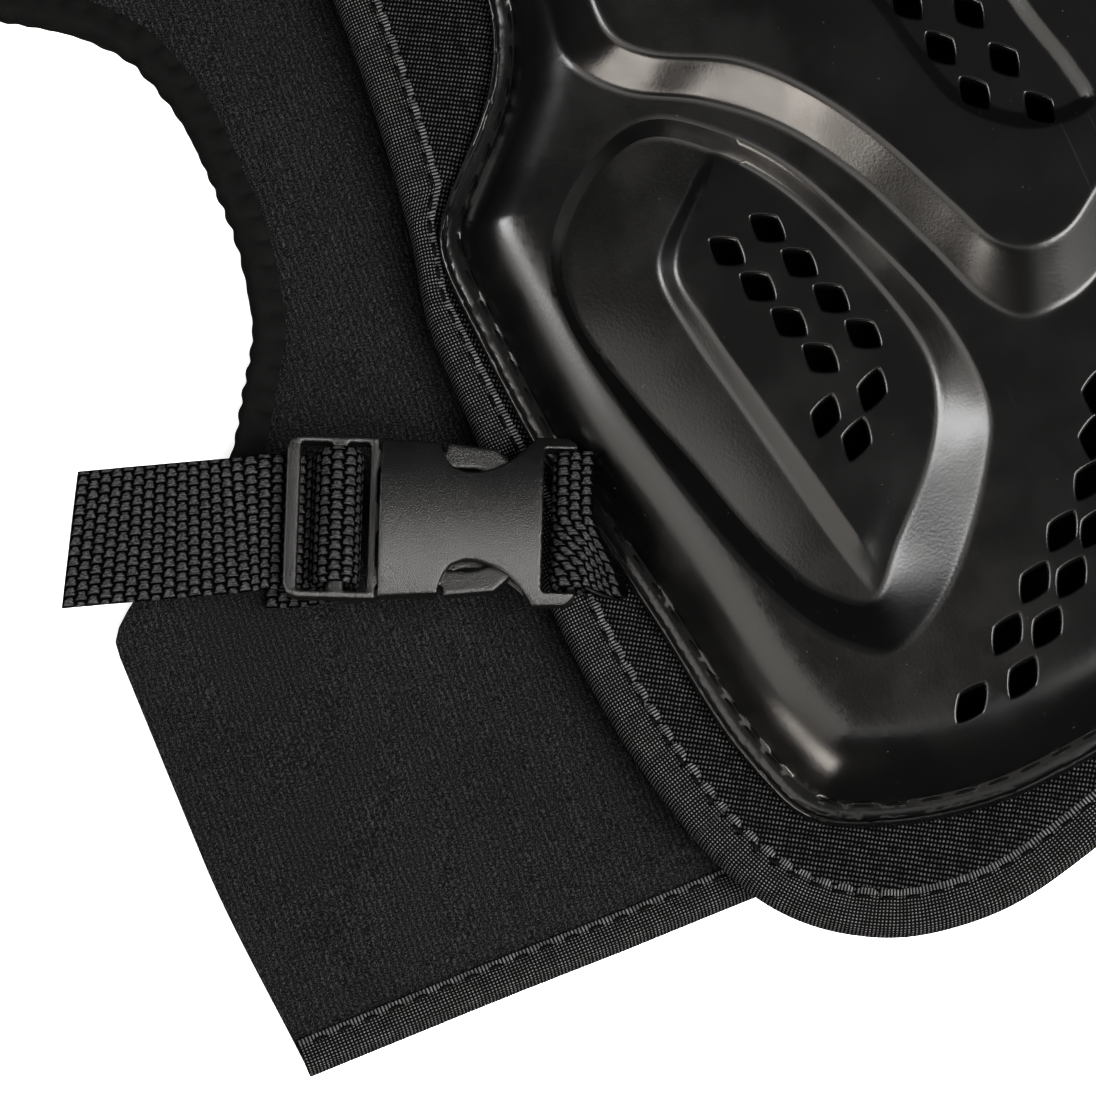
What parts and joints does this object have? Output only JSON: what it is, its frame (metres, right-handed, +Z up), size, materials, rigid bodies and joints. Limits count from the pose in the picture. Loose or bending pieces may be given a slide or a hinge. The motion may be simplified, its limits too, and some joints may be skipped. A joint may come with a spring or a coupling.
{
  "type": "motocross body armor",
  "caption": "Black motocross chest protector vest lying flat: moulded, pierced chest plate on a mesh front panel, lined back panel, side straps with buckles and bound edges.",
  "frame": {"origin": "on the surface it lies on, under the middle of the vest's box", "axes": "+X towards the vest's left side as worn, +Y from the hem towards the neck, +Z up, away from the surface it lies on"},
  "size_m": [0.4178, 0.3184, 0.0675],
  "materials": {
    "plate_plastic": "semi-gloss moulded",
    "mesh_fabric": "knit mesh",
    "edge_tape": "ribbed tape",
    "lining_fabric": "brushed pile",
    "webbing": "woven",
    "buckle_plastic": "fine grain"
  },
  "bodies": {
    "root": {"front_plate": "plate_plastic", "front_panel": "mesh_fabric", "front_binding": "edge_tape", "back_panel": "lining_fabric", "back_hem_tape": "edge_tape", "armhole_tape_right": "edge_tape", "armhole_tape_left": "edge_tape", "side_strap_right": "webbing", "side_strap_left": "webbing", "buckle_plug_right": "buckle_plastic", "buckle_plug_left": "buckle_plastic", "buckle_socket_right": "buckle_plastic", "buckle_socket_left": "buckle_plastic", "buckle_tab_right": "webbing", "buckle_tab_left": "webbing", "shoulder_strap_right": "mesh_fabric", "shoulder_strap_left": "mesh_fabric"}
  },
  "joints": []
}
